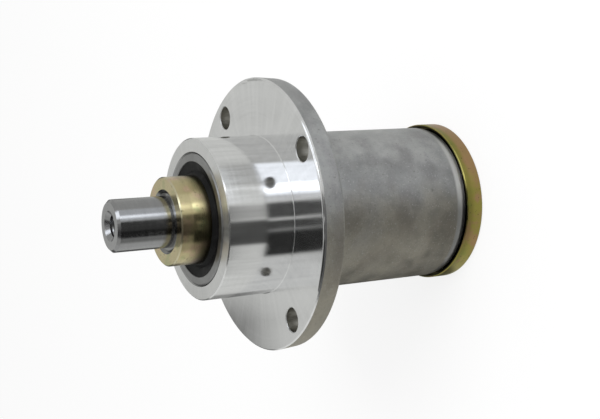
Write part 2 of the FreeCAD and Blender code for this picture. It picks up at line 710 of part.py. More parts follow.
def make_grease_fitting(doc):
    """The grease fitting: stem, hexagon and nipple head, with the check ball behind its mouth."""
    body = add_body(doc, "grease_fitting")
    stem_radius = "port_dia / 2 - seat_gap"
    turn(body, "TurnedNipple", [
        ("nipple_outlet_dia / 2", "-nipple_stem"),
        (stem_radius + " - nipple_stem_lead", "-nipple_stem"),
        (stem_radius, "nipple_stem_lead - nipple_stem"),
        (stem_radius, "nipple_hex_height"),
        ("nipple_neck_dia / 2", "nipple_hex_height + nipple_neck_lead"),
        ("nipple_neck_dia / 2", "nipple_neck_top"),
        ("nipple_head_dia / 2", "nipple_head_back"),
        ("nipple_head_dia / 2", "nipple_head_back + nipple_head_band"),
        ("nipple_mouth_dia / 2 + nipple_face_width", "nipple_tip"),
        ("nipple_mouth_dia / 2", "nipple_tip"),
        ("nipple_passage_dia / 2", "nipple_tip - ball_seat_depth"),
        ("nipple_passage_dia / 2", "nipple_hex_height / 2"),
        ("nipple_outlet_dia / 2", "nipple_hex_height / 2"),
    ])
    hexagon = []
    sides = 6
    for number in range(sides):
        corner = "nipple_hex / 2 / cos(%g)" % (180 / sides)
        angle = 360 / sides * number
        hexagon.append(("%s * cos(%g)" % (corner, angle), "%s * sin(%g)" % (corner, angle)))
    hexagon_sketch = add_sketch(body, "HexagonSection", "XY_Plane")
    draw_outline(hexagon_sketch, hexagon)
    draw_circle(hexagon_sketch, "0", "0", "nipple_neck_dia")
    pad = body.newObject("PartDesign::Pad", "Hexagon")
    pad.Profile = hexagon_sketch
    pad.setExpression("Length", bound("nipple_hex_height"))
    body.Tip = pad
    stand_on_barrel(body)

    ball = doc.addObject("Part::Sphere", "Sphere_check_ball")
    ball.Label = "grease_check_ball"
    ball.setExpression("Radius", bound("check_ball_dia / 2"))
    stand_on_barrel(ball)
    ball.setExpression("Placement.Base.y", bound("spot_face_plane + nipple_tip - ball_drop"))
    return [body, ball]


def check(doc, pieces):
    """Stops if a feature failed or a piece has no valid solid."""
    for item in doc.Objects:
        if "Invalid" in item.State or "Error" in item.State:
            raise RuntimeError("%s failed: %s" % (item.Name, item.State))
    for piece in pieces:
        shape = piece.Shape
        if shape.isNull() or not shape.isValid() or not shape.Solids:
            raise RuntimeError("%s has no valid solid" % piece.Label)


def main():
    doc = FreeCAD.newDocument("MowerDeckSpindle")
    sheet = make_sheet(doc, "Sizes", {name: str(value) for name, value in SIZES.items()})
    layout = make_sheet(doc, "Layout", {name: "=" + bound(formula) for name, formula in LAYOUT.items()})
    doc.recompute()

    pieces = [make_housing(doc, sheet, layout)]
    pieces += make_seal(doc, layout, "upper", "upper_seal_face", UPRIGHT)
    pieces += make_seal(doc, layout, "lower", "housing_end", TURNED_OVER)
    pieces += make_bearing(doc, "upper", "upper_cup_back", UPRIGHT)
    pieces += make_bearing(doc, "lower", "lower_cup_back", TURNED_OVER)
    pieces += [make_shaft(doc), make_upper_collar(doc), make_lower_collar(doc)]
    pieces += [make_spacer(doc), make_dust_cap(doc)]
    pieces += make_grease_fitting(doc)
    doc.recompute()
    check(doc, pieces)

    os.makedirs("parts", exist_ok=True)
    for piece in pieces:
        piece.Shape.exportStep("parts/%s.step" % piece.Label)
        print("%-22s %2d solid(s) %10.1f mm3" % (piece.Label, len(piece.Shape.Solids), piece.Shape.Volume))


main()
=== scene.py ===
import json
import math

import bpy
from mathutils import Matrix, Vector


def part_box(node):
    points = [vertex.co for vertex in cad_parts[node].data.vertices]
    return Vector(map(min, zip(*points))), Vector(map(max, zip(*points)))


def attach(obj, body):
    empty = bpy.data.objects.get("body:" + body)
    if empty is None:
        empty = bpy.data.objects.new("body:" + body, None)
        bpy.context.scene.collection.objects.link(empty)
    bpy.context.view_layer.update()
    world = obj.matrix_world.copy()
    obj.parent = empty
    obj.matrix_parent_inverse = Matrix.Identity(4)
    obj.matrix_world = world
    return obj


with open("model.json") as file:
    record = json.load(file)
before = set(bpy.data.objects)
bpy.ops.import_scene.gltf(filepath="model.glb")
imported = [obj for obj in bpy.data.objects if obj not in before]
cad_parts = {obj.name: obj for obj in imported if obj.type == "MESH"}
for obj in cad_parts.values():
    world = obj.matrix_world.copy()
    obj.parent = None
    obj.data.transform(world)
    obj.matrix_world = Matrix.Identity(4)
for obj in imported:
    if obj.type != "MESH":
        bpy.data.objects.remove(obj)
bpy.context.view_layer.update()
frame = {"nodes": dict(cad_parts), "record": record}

HAIR = 0.0001


# Measures taken from the frame
def reach(node):
    """A turned piece's greatest radius, and its lowest and highest point."""
    low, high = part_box(node)
    return max(high.x, -low.x), low.z, high.z


mounts = {mount["name"]: mount for mount in frame["record"]["mounts"]}


def mount_size(name, size):
    """One of a mount's sizes, in metres."""
    return mounts[name]["dims"][size] / 1000


FLANGE_RADIUS, _, BOSS_TOP = reach("spindle_housing")
CAP_RADIUS, CAP_BASE, CAP_RIM = reach("dust_cap")
SEAL_RADIUS, _, SEAL_FACE = reach("upper_seal_case")
_, _, COLLAR_TOP = reach("upper_collar")
_, _, STUB_TOP = reach("spindle_shaft")
FLOOR = CAP_BASE

BOSS_RADIUS = mount_size("pilot_boss", "r_mm")
STUB_RADIUS = mount_size("pulley_stub", "r_mm")
BOLT_RADIUS = mount_size("deck_bolts", "hole_r_mm")
PITCH_RADIUS = mount_size("deck_bolts", "pcd_mm") / 2

# Measures of the solids that the frame doesn't name
BOSS_CHAMFER = 0.0005
FLANGE_CHAMFER = 0.0006
HOLE_MOUTH = 0.0006
MACHINED_BAND = CAP_RIM + 0.0049
NOSE_START = CAP_RIM + 0.0028
NOSE_RADIUS = 0.03975
BARREL_END = CAP_RIM - 0.0003
COLLAR_MOUTH = 0.0158
COLLAR_EDGE = 0.0006
CAP_EDGE = 0.0004

# Sides of the part as directions away from the axis: polished, stained with painted shade, painted
# shade, painted mouth shade and painted highlight
ROLLED_SIDE = (0.707, -0.707, 0)
STAINED_AND_SHADED_SIDE = (-0.766, -0.643, 0)
PAINTED_SHADE_SIDE = (-1, 0, 0)
MOUTH_SHADE_SIDE = (0.927, 0.375, 0)
HIGHLIGHT_SIDE = (0.643, -0.766, 0)

# Shader building. A noise keeps mostly between its low and its high value.
NOISE_LOW = 0.3
NOISE_HIGH = 0.7


def of_kind(sockets, kind):
    """The sockets that carry one kind of data, in their order."""
    return [socket for socket in sockets if socket.type == kind]


class Look:
    """Builds one material's nodes from left to right."""

    def __init__(self, name):
        self.material = bpy.data.materials.new(name)
        self.material.use_nodes = True
        self.tree = self.material.node_tree
        self.tree.nodes.clear()
        self.place = self.node("ShaderNodeTexCoord").outputs["Object"]
        self.turned = None

    def node(self, kind, inputs=None, **settings):
        made = self.tree.nodes.new(kind)
        for key, value in settings.items():
            setattr(made, key, value)
        for key, value in (inputs or {}).items():
            self.feed(made.inputs[key], value)
        return made

    def feed(self, socket, value):
        if isinstance(value, bpy.types.NodeSocket):
            self.tree.links.new(value, socket)
        elif hasattr(value, "__len__") and len(value) == 3 and socket.type == "RGBA":
            socket.default_value = (*value, 1.0)
        else:
            socket.default_value = value

    def math(self, operation, first, second=0.0, clamp=False):
        made = self.node("ShaderNodeMath", {0: first, 1: second}, operation=operation, use_clamp=clamp)
        return made.outputs[0]

    def total(self, *terms):
        """Adds up any number of values."""
        result = terms[0]
        for term in terms[1:]:
            result = self.math("ADD", result, term)
        return result

    def product(self, *factors):
        """Multiplies any number of values."""
        result = factors[0]
        for factor in factors[1:]:
            result = self.math("MULTIPLY", result, factor)
        return result

    def vector(self, operation, first, second=(0, 0, 0)):
        made = self.node("ShaderNodeVectorMath", {0: first, 1: second}, operation=operation)
        return made.outputs["Value" if operation in ("DOT_PRODUCT", "LENGTH") else "Vector"]

    def scaled(self, vector, factor):
        made = self.node("ShaderNodeVectorMath", {0: vector, "Scale": factor}, operation="SCALE")
        return made.outputs["Vector"]

    def join(self, x, y, z):
        return self.node("ShaderNodeCombineXYZ", {0: x, 1: y, 2: z}).outputs[0]

    def split(self, vector):
        return self.node("ShaderNodeSeparateXYZ", {0: vector}).outputs

    def noise(self, place, scale, detail=3.0, roughness=0.5):
        made = self.node("ShaderNodeTexNoise", {"Vector": place, "Scale": scale, "Detail": detail,
                                                "Roughness": roughness})
        return made.outputs["Fac"]

    def fade(self, value, start, end, low=0.0, high=1.0):
        """Goes smoothly from low, where value is at start, to high, where it is at end."""
        made = self.node("ShaderNodeMapRange", {"Value": value, "From Min": start, "From Max": end,
                                                "To Min": low, "To Max": high},
                         interpolation_type="SMOOTHSTEP")
        return made.outputs["Result"]

    def stretch(self, noise, low=0.0, high=1.0):
        """Draws the middle range of a noise out, so that it runs from low to high."""
        return self.fade(noise, NOISE_LOW, NOISE_HIGH, low, high)

    def blend(self, factor, first, second):
        """Blends two values."""
        made = self.node("ShaderNodeMix", data_type="FLOAT")
        for socket, value in zip(of_kind(made.inputs, "VALUE"), (factor, first, second)):
            self.feed(socket, value)
        return of_kind(made.outputs, "VALUE")[0]

    def mix(self, factor, first, second):
        """Blends two colours."""
        made = self.node("ShaderNodeMix", data_type="RGBA", blend_type="MIX")
        self.feed(made.inputs["Factor"], factor)
        for socket, colour in zip(of_kind(made.inputs, "RGBA"), (first, second)):
            self.feed(socket, colour)
        return of_kind(made.outputs, "RGBA")[0]

    def cylindrical(self):
        """Radius, height and the unit vector away from the axis, each in the piece's own frame."""
        if self.turned is None:
            x, y, z = self.split(self.place)
            flat = self.join(x, y, 0.0)
            self.turned = self.vector("LENGTH", flat), z, self.vector("NORMALIZE", flat)
        return self.turned

    def facing(self, side):
        """How squarely a turned surface faces one side: 1 when straight at it, and 0 when across it."""
        _, _, outward = self.cylindrical()
        return self.vector("DOT_PRODUCT", outward, side)

    def lathe_noise(self, across, along, detail, roughness):
        """A noise that follows a lathe, with its own scale across the tool marks and along them."""
        radius, height, outward = self.cylindrical()
        around = self.scaled(outward, along)
        marks = self.total(self.product(radius, across), self.product(height, across))
        place = self.vector("ADD", around, self.join(0.0, 0.0, marks))
        return self.noise(place, 1.0, detail, roughness)

    def lathe_normal(self):
        """The exact normal of a turned surface, in world space, from the flat facets' own normal."""
        _, _, outward = self.cylindrical()
        facet = self.node("ShaderNodeTexCoord").outputs["Normal"]
        along = self.split(facet)[2]
        side = self.math("SIGN", self.vector("DOT_PRODUCT", facet, outward))
        across = self.math("SQRT", self.math("SUBTRACT", 1.0, self.product(along, along), clamp=True))
        normal = self.vector("ADD", self.scaled(outward, self.product(side, across)),
                             self.join(0.0, 0.0, along))
        return self.to_world(normal)

    def to_world(self, vector):
        made = self.node("ShaderNodeVectorTransform", {"Vector": vector}, vector_type="NORMAL",
                         convert_from="OBJECT", convert_to="WORLD")
        return made.outputs[0]

    def lathe_tangent(self):
        """The direction in which a lathe's tool marks run, in world space."""
        _, _, outward = self.cylindrical()
        return self.to_world(self.vector("CROSS_PRODUCT", (0, 0, 1), outward))

    def bump(self, height, distance, normal=None):
        inputs = {"Height": height, "Distance": distance}
        if normal is not None:
            inputs["Normal"] = normal
        return self.node("ShaderNodeBump", inputs).outputs[0]

    def close(self, shader):
        """Ends the material with a shader's output."""
        output = self.node("ShaderNodeOutputMaterial")
        self.tree.links.new(shader.outputs[0], output.inputs["Surface"])
        return self.material

    def finish(self, colour, roughness, metallic=1.0, normal=None, tangent=None, constants=None):
        """Ends the material with a Principled shader. Constants go on the shader's own sockets."""
        shader = self.node("ShaderNodeBsdfPrincipled", {"Base Color": colour, "Roughness": roughness,
                                                        "Metallic": metallic})
        if normal is not None:
            self.feed(shader.inputs["Normal"], normal)
        if tangent is not None:
            self.feed(shader.inputs["Tangent"], tangent)
        for socket, value in (constants or {}).items():
            shader.inputs[socket].default_value = value
        return self.close(shader)


QUARTER_TURN = 0.25


def lathe_gloss(anisotropy):
    """Tool marks run along the tangent, so the highlight is drawn out across them."""
    return {"Anisotropic": anisotropy, "Anisotropic Rotation": QUARTER_TURN}


def shades(colour, spread):
    """A darker and a lighter shade of one colour."""
    return [part * (1 - spread) for part in colour], [part * (1 + spread) for part in colour]


# Aluminium
ROLL_START = FLANGE_RADIUS - 0.0026
ROLL_END = FLANGE_RADIUS + 0.0004
ROLL_DEPTH = 0.0025


def turned_aluminium(name, colour, roughness, spread, groove, anisotropy, rolled=False):
    """Machined aluminium: tool marks round the axis, with a highlight drawn out across them. A rolled
    face falls away towards the flange's outer edge along one side, as polishing leaves it."""
    look = Look(name)
    marks = look.lathe_noise(9000, 0.6, 2.0, 0.6)
    waves = look.lathe_noise(1100, 1.5, 2.0, 0.5)
    bands = look.lathe_noise(700, 1.5, 3.0, 0.55)
    smear = look.lathe_noise(26, 13.0, 5.0, 0.65)
    tone = look.total(look.stretch(bands, -0.25, 0.25), look.stretch(smear, -0.6, 0.6))
    darker, lighter = shades(colour, 0.07)
    colour = look.mix(look.math("ADD", look.product(tone, 0.5), 0.5, clamp=True), darker, lighter)
    rough = look.math("ADD", roughness, look.product(tone, spread), clamp=True)
    normal = look.lathe_normal()
    if rolled:
        radius, _, _ = look.cylindrical()
        side = look.fade(look.facing(ROLLED_SIDE), 0.30, 0.60)
        fall = look.product(look.fade(radius, ROLL_START, ROLL_END, 0.0, -1.0), side)
        normal = look.bump(fall, ROLL_DEPTH, normal)
    normal = look.bump(marks, groove, look.bump(waves, groove * 3, normal))
    return look.finish(colour, rough, normal=normal, tangent=look.lathe_tangent(),
                       constants=lathe_gloss(anisotropy))


CAST_DARK = (0.335, 0.34, 0.342)
CAST_PALE = (0.43, 0.43, 0.428)
CAST_SMEAR = (0.27, 0.265, 0.27)
CAST_SPECK = (0.58, 0.58, 0.57)
CAST_HOLLOW = (0.18, 0.175, 0.165)
CAST_PIT = (0.15, 0.145, 0.135)
NO_TINT = (1, 1, 1)
BROWN_TINT = (1.02, 0.955, 0.81)
# The skimmed band's colour, and a lighter one that paints its highlight
SKIMMED_DULL = (0.28, 0.28, 0.275)
SKIMMED_HIGHLIGHT = (0.52, 0.52, 0.52)
SKIM_START = MACHINED_BAND + 0.0010
SKIM_FULL = MACHINED_BAND - 0.0006
NOSE_FULL = NOSE_START - 0.0012
# Heights where the painted shade below the flange and near the cap begins and is full
BARREL_SHADE_START = -0.018
BARREL_SHADE_FULL = -0.040
CAP_SHADE_START = CAP_RIM + 0.0251
CAP_SHADE_FULL = CAP_RIM + 0.0071


def cast_aluminium(name):
    """Aluminium as it left the mould: rough grain, pits and pale specks over soft grey smears. Below
    the flange one side is stained a warm brown and painted darker as shade, darkest along its middle,
    the far side a little lighter, another side is painted dark as shade, and painted shade deepens near
    the cap. The band and the nose at the barrel's end are skimmed; the nose is painted darker as
    shade, and both have a painted highlight on one side."""
    look = Look(name)
    _, height, _ = look.cylindrical()
    skimmed = look.fade(height, SKIM_START, SKIM_FULL)
    grain = look.noise(look.place, 1000, 4.0, 0.75)
    pits = look.noise(look.place, 520, 3.0, 0.6)
    mottles = look.noise(look.place, 140, 4.0, 0.6)
    smears = look.lathe_noise(70, 2.4, 4.0, 0.55)
    clouds = look.noise(look.vector("ADD", look.place, (0.31, 0.17, 0.53)), 30, 3.0, 0.5)
    stain_and_shade = look.total(look.facing(STAINED_AND_SHADED_SIDE), look.stretch(clouds, -0.22, 0.22))
    colour = look.mix(look.stretch(mottles), CAST_DARK, CAST_PALE)
    colour = look.mix(look.fade(smears, 0.45, 0.70, 0.0, 0.6), colour, CAST_SMEAR)
    tint = look.mix(look.fade(stain_and_shade, 0.15, 0.90), NO_TINT, BROWN_TINT)
    colour = look.vector("MULTIPLY", colour, tint)
    # Painted shade below the flange: darker on the stained side, darkest along its middle, a little
    # lighter on the far side, dark on the -x side and near the cap
    painted_shade = look.product(look.fade(stain_and_shade, -0.30, 0.0, 1.10, 0.84),
                        look.fade(stain_and_shade, 0.84, 1.08, 1.0, 0.62),
                        look.fade(height, CAP_SHADE_START, CAP_SHADE_FULL, 1.0, 0.86),
                        look.fade(look.facing(PAINTED_SHADE_SIDE), 0.84, 0.95, 1.0, 0.35))
    below_flange = look.fade(height, BARREL_SHADE_START, BARREL_SHADE_FULL)
    colour = look.scaled(colour, look.blend(below_flange, 1.0, painted_shade))
    colour = look.mix(look.fade(grain, 0.57, 0.72, 0.0, 0.6), colour, CAST_SPECK)
    colour = look.mix(look.fade(grain, 0.43, 0.30, 0.0, 0.5), colour, CAST_HOLLOW)
    colour = look.mix(look.fade(pits, 0.36, 0.28, 0.0, 0.4), colour, CAST_PIT)
    # Painted highlight on one side of the skimmed band and nose
    painted_highlight = look.fade(look.facing(HIGHLIGHT_SIDE), 0.82, 0.98)
    colour = look.mix(skimmed, colour, look.mix(painted_highlight, SKIMMED_DULL, SKIMMED_HIGHLIGHT))
    # The nose is painted darker as shade, and much lighter on one side as a painted highlight
    on_nose = look.fade(height, NOSE_START, NOSE_FULL)
    colour = look.scaled(colour, look.blend(on_nose, 1.0, look.blend(painted_highlight, 0.8, 1.8)))
    rough = look.blend(skimmed, look.stretch(mottles, 0.46, 0.58), 0.30)
    relief = look.total(look.product(grain, 0.5), pits, mottles)
    relief = look.blend(skimmed, relief, look.product(relief, 0.08))
    return look.finish(colour, rough, metallic=0.9, normal=look.bump(relief, 0.00012))


def broken_edge(name):
    """The small bright chamfer round a drilled hole."""
    look = Look(name)
    tone = look.noise(look.place, 500, 3.0)
    colour = look.mix(look.stretch(tone), (0.60, 0.60, 0.59), (0.72, 0.72, 0.715))
    return look.finish(colour, look.stretch(tone, 0.36, 0.48))


def drilled_aluminium(name):
    """The wall of a drilled hole, with its fine marks."""
    look = Look(name)
    _, height, _ = look.cylindrical()
    marks = look.noise(look.join(0.0, 0.0, height), 5200, 2.0, 0.6)
    tone = look.noise(look.place, 260, 3.0)
    colour = look.mix(look.stretch(tone), (0.37, 0.36, 0.33), (0.50, 0.49, 0.455))
    return look.finish(colour, look.stretch(tone, 0.28, 0.40), normal=look.bump(marks, 0.000010))


# Steel
def ground_steel(name, colour, roughness, mouth_shading=False):
    """Ground steel: neutral, fine rings of grinding marks and a few darker bands. With mouth shading,
    one side is painted dark as the shade in the collar's mouth and another side gets a painted
    highlight."""
    look = Look(name)
    marks = look.lathe_noise(12000, 0.8, 2.0, 0.6)
    bands = look.lathe_noise(500, 1.0, 4.0, 0.6)
    smudge = look.lathe_noise(40, 6.0, 4.0, 0.6)
    darker, lighter = shades(colour, 0.04)
    colour = look.mix(look.stretch(bands), darker, lighter)
    if mouth_shading:
        # Painted shade on one side and a painted highlight on another
        mouth_shade = look.fade(look.facing(MOUTH_SHADE_SIDE), 0.93, 0.985, 1.0, 0.15)
        painted_highlight = look.fade(look.facing(HIGHLIGHT_SIDE), 0.88, 0.98, 1.0, 2.2)
        colour = look.scaled(colour, look.product(mouth_shade, painted_highlight))
    rough = look.total(look.stretch(smudge, roughness - 0.02, roughness + 0.03),
                       look.stretch(bands, -0.01, 0.01))
    normal = look.bump(marks, 0.000012, look.lathe_normal())
    return look.finish(colour, rough, normal=normal, tangent=look.lathe_tangent(),
                       constants=lathe_gloss(0.5))


def plain_steel(name, colour, roughness, scale):
    """Steel with a fine even grain, for the pressed, rolled and hardened pieces."""
    look = Look(name)
    tone = look.noise(look.place, scale, 4.0, 0.6)
    fine = look.noise(look.place, scale * 14, 2.0, 0.5)
    darker, lighter = shades(colour, 0.15)
    colour = look.mix(look.stretch(tone), darker, lighter)
    rough = look.stretch(tone, roughness - 0.04, roughness + 0.05)
    return look.finish(colour, rough, normal=look.bump(fine, 0.00001))


# Tones of yellow chromate, each set a gold, a second gold, a pink and a green
COLLAR_TONES = ((0.48, 0.41, 0.22), (0.56, 0.485, 0.28), (0.60, 0.44, 0.30), (0.39, 0.40, 0.20))
# Paler tones that paint a highlight on the collar's outer edge
COLLAR_HIGHLIGHT_TONES = ((0.55, 0.50, 0.33), (0.60, 0.55, 0.38), (0.60, 0.48, 0.36), (0.48, 0.50, 0.32))
CAP_TONES = ((0.33, 0.29, 0.070), (0.37, 0.325, 0.085), (0.41, 0.25, 0.13), (0.29, 0.30, 0.070))
CAP_EDGE_TONES = ((0.31, 0.28, 0.08), (0.36, 0.32, 0.10), (0.38, 0.28, 0.12), (0.30, 0.31, 0.08))
# Near-black tones that paint the shade inside the cap
SHADED_INSIDE_TONES = ((0.05, 0.045, 0.018), (0.06, 0.053, 0.02), (0.06, 0.045, 0.02), (0.045, 0.047, 0.018))
ZINC_SPECK = (0.10, 0.08, 0.04)

# How far the cap's rim band, the collar's painted shade near the seal and its wear reach
RIM_BAND_START = CAP_RIM - 0.0015
RIM_BAND_END = CAP_RIM - 0.0050
PINK_START = 0.006
PINK_FULL = 0.030
PINK_WANDER = 0.008
NEAR_SEAL_START = SEAL_FACE + 0.001
SEAL_SHADE_END = SEAL_FACE + 0.010
DEEP_SEAL_SHADE_START = SEAL_FACE + 0.003
DEEP_SEAL_SHADE_END = SEAL_FACE + 0.012
WEAR_END = SEAL_FACE + 0.0095
WEAR_DEPTH = 0.0012


def yellow_zinc(name, tones, roughness, drained=False, shaded_near_seal=False):
    """Yellow chromate on zinc: olive gold that drifts to pink and green, over turned steel. A piece
    that drained to one side as it dried is pinker there below its darker rim. One shaded near the
    seal is painted dark near the upper seal as shade, darkest on the shaded side, and is worn there."""
    first, second, pink, green = tones
    look = Look(name)
    drift = look.noise(look.place, 45, 3.0, 0.5)
    veil = look.noise(look.vector("ADD", look.place, (0.2, 0.7, 0.1)), 110, 3.0, 0.55)
    rings = look.lathe_noise(2600, 1.2, 3.0, 0.6)
    specks = look.noise(look.place, 700, 2.0, 0.5)
    gold = look.mix(look.fade(drift, 0.35, 0.65), first, second)
    gold = look.mix(look.fade(veil, 0.50, 0.66, 0.0, 0.8), gold, pink)
    gold = look.mix(look.fade(veil, 0.46, 0.30, 0.0, 0.7), gold, green)
    if drained:
        x, _, height = look.split(look.place)
        run = look.math("ADD", x, look.stretch(veil, -PINK_WANDER, PINK_WANDER))
        below_rim = look.fade(height, RIM_BAND_START, RIM_BAND_END)
        pinker = look.product(look.fade(run, PINK_START, PINK_FULL, 0.0, 0.85), below_rim)
        gold = look.mix(pinker, gold, pink)
        gold = look.scaled(gold, look.blend(below_rim, 0.80, 1.0))
    gold = look.mix(look.fade(specks, 0.66, 0.73, 0.0, 0.7), gold, ZINC_SPECK)
    rough = look.total(look.stretch(drift, roughness, roughness + 0.08),
                       look.stretch(rings, -0.02, 0.02))
    normal = look.lathe_normal()
    if shaded_near_seal:
        _, height, _ = look.cylindrical()
        # Painted shade near the upper seal, darkest on the shaded side
        on_shaded_side = look.fade(look.facing(STAINED_AND_SHADED_SIDE), 0.5, 0.95)
        seal_shade = look.fade(height, NEAR_SEAL_START, SEAL_SHADE_END, 0.32, 1.0)
        deep_seal_shade = look.fade(height, DEEP_SEAL_SHADE_START, DEEP_SEAL_SHADE_END, 0.12, 1.0)
        gold = look.scaled(gold, look.blend(on_shaded_side, seal_shade, deep_seal_shade))
        worn = look.fade(height, NEAR_SEAL_START, WEAR_END, 1.0, 0.0)
        rough = look.total(rough, look.product(worn, 0.12))
        normal = look.bump(worn, WEAR_DEPTH, normal)
    normal = look.bump(rings, 0.000008, normal)
    return look.finish(gold, rough, normal=normal, tangent=look.lathe_tangent(),
                       constants=lathe_gloss(0.3))


def bright_zinc(name):
    """Bright zinc plate on a small turned fitting."""
    look = Look(name)
    tone = look.noise(look.place, 900, 3.0, 0.6)
    colour = look.mix(look.stretch(tone), (0.55, 0.56, 0.58), (0.66, 0.67, 0.69))
    return look.finish(colour, look.stretch(tone, 0.16, 0.26), normal=look.bump(tone, 0.00001))


def nitrile_rubber(name):
    """Moulded nitrile rubber: near black, a soft sheen and a little dust."""
    look = Look(name)
    grain = look.noise(look.place, 2600, 3.0, 0.6)
    dust = look.noise(look.place, 220, 4.0, 0.6)
    colour = look.mix(look.fade(dust, 0.45, 0.75), (0.006, 0.006, 0.006), (0.012, 0.012, 0.012))
    return look.finish(colour, look.stretch(dust, 0.36, 0.52), metallic=0.0,
                       normal=look.bump(grain, 0.00003), constants={"Specular IOR Level": 0.08})


ALUMINIUM = (0.76, 0.76, 0.765)
FACED_ALUMINIUM = (0.72, 0.72, 0.72)
SHADED_ALUMINIUM = (0.36, 0.36, 0.36)
finishes = {
    "boss_side": turned_aluminium("boss_side", ALUMINIUM, roughness=0.12, spread=0.03, groove=0.0000005,
                                  anisotropy=0.6),
    "boss_face": turned_aluminium("boss_face", FACED_ALUMINIUM, roughness=0.34, spread=0.05,
                                  groove=0.000004, anisotropy=0.6),
    "flange_face": turned_aluminium("flange_face", ALUMINIUM, roughness=0.12, spread=0.04,
                                    groove=0.0000006, anisotropy=0.4, rolled=True),
    "chamfer": turned_aluminium("turned_chamfer", ALUMINIUM, roughness=0.16, spread=0.03,
                                groove=0.0000006, anisotropy=0.3),
    # Dark as painted shade in the seal's bore and its chamfer, and in the barrel end's recess
    "bore": turned_aluminium("turned_bore_shade", SHADED_ALUMINIUM, roughness=0.28, spread=0.04,
                             groove=0.000003, anisotropy=0.4),
    "cast": cast_aluminium("cast_aluminium"),
    "broken_edge": broken_edge("broken_edge"),
    "drilled": drilled_aluminium("drilled_aluminium"),
    "ground_steel": ground_steel("ground_steel", (0.305, 0.305, 0.31), roughness=0.13),
    "shaft_shoulder": ground_steel("shaft_shoulder", (0.24, 0.24, 0.235), roughness=0.20, mouth_shading=True),
    "yellow_zinc": yellow_zinc("yellow_zinc", COLLAR_TONES, roughness=0.17, shaded_near_seal=True),
    "zinc_edge_highlight": yellow_zinc("zinc_edge_highlight", COLLAR_HIGHLIGHT_TONES, roughness=0.14),
    "cap_zinc": yellow_zinc("cap_zinc", CAP_TONES, roughness=0.34, drained=True),
    "cap_edge": yellow_zinc("cap_edge", CAP_EDGE_TONES, roughness=0.14),
    "cap_inside_shade": yellow_zinc("cap_inside_shade", SHADED_INSIDE_TONES, roughness=0.20),
    "seal_steel": plain_steel("seal_steel", (0.285, 0.285, 0.285), roughness=0.34, scale=160),
    "seal_rubber": nitrile_rubber("seal_rubber"),
    "spring_steel": plain_steel("spring_steel", (0.46, 0.46, 0.47), roughness=0.24, scale=300),
    "bearing_steel": plain_steel("bearing_steel", (0.57, 0.57, 0.58), roughness=0.12, scale=120),
    "cage_steel": plain_steel("cage_steel", (0.34, 0.34, 0.35), roughness=0.30, scale=180),
    "spacer_steel": plain_steel("spacer_steel", (0.40, 0.40, 0.41), roughness=0.32, scale=90),
    "bright_zinc": bright_zinc("bright_zinc"),
}


# Which finish each face gets. A face is flat, sloping or steep by its normal's share along the axis.
FLAT = 0.9
SLOPING = 0.5
STEEP = 0.3
ROUND_SLACK = 0.001


def housing_finish(centre, normal):
    """Names the finish of one face of the housing by where the face lies."""
    radius = math.hypot(centre.x, centre.y)
    corner = PITCH_RADIUS * math.sqrt(0.5)
    from_bolt = math.hypot(abs(centre.x) - corner, abs(centre.y) - corner)
    if from_bolt < BOLT_RADIUS + HOLE_MOUTH and abs(normal.z) < FLAT:
        return "drilled" if abs(normal.z) < STEEP else "broken_edge"
    if radius < SEAL_RADIUS + ROUND_SLACK and centre.z < BOSS_TOP - HAIR:
        return "bore"
    if centre.z > BOSS_TOP - BOSS_CHAMFER - HAIR / 4:
        return "boss_face" if normal.z > FLAT else "chamfer"
    if centre.z > HAIR / 4 and radius < BOSS_RADIUS + ROUND_SLACK:
        return "boss_side"
    if centre.z > -HAIR:
        return "flange_face"
    if centre.z > -FLANGE_CHAMFER and radius > FLANGE_RADIUS - FLANGE_CHAMFER - HAIR:
        return "chamfer"
    if centre.z < BARREL_END + HAIR and radius < NOSE_RADIUS:
        return "bore"
    return "cast"


def shaft_finish(centre, normal):
    """The shoulder that the pulley's spacer clamps on is darker than the ground stub."""
    radius = math.hypot(centre.x, centre.y)
    if normal.z > SLOPING and radius > STUB_RADIUS and centre.z < STUB_TOP - HAIR:
        return "shaft_shoulder"
    return "ground_steel"


def collar_finish(centre, normal):
    """The collar's bore and the chamfer at its mouth are bare steel, with painted shade and highlight,
    and its outer edge is painted paler as a highlight.
    """
    radius = math.hypot(centre.x, centre.y)
    facing_in = normal.x * centre.x + normal.y * centre.y < 0
    if facing_in and radius < COLLAR_MOUTH:
        return "shaft_shoulder"
    highlight_edge = centre.z > COLLAR_TOP - COLLAR_EDGE and normal.z < FLAT
    return "zinc_edge_highlight" if highlight_edge else "yellow_zinc"


def cap_finish(centre, normal):
    """The cap is painted near black inside as shade, and its rim's outer edge is worn glossy along one
    half.
    """
    radius = math.hypot(centre.x, centre.y)
    if radius < CAP_RADIUS - CAP_EDGE and centre.z > CAP_BASE + HAIR:
        return "cap_inside_shade"
    highlight_edge = centre.z > CAP_RIM - CAP_EDGE and normal.z < FLAT and centre.x > 0
    return "cap_edge" if highlight_edge else "cap_zinc"


def dress(node, pick):
    """Gives each face of a node the finish that pick names for it."""
    mesh = frame["nodes"][node].data
    mesh.materials.clear()
    slots = {}
    for face in mesh.polygons:
        name = pick(face.center, face.normal)
        if name not in slots:
            slots[name] = len(slots)
            mesh.materials.append(finishes[name])
        face.material_index = slots[name]


pickers = {
    "spindle_housing": housing_finish,
    "spindle_shaft": shaft_finish,
    "upper_collar": collar_finish,
    "dust_cap": cap_finish,
}
for subpart in frame["record"]["subparts"]:
    slot = subpart["material_slot"]
    dress(subpart["node"], pickers.get(subpart["node"], lambda centre, normal: slot))


def add_object(name, vertices, faces, material):
    """Puts a mesh of one material into the scene."""
    mesh = bpy.data.meshes.new(name)
    mesh.from_pydata(vertices, [], faces)
    mesh.materials.append(material)
    made = bpy.data.objects.new(name, mesh)
    bpy.context.scene.collection.objects.link(made)
    return made


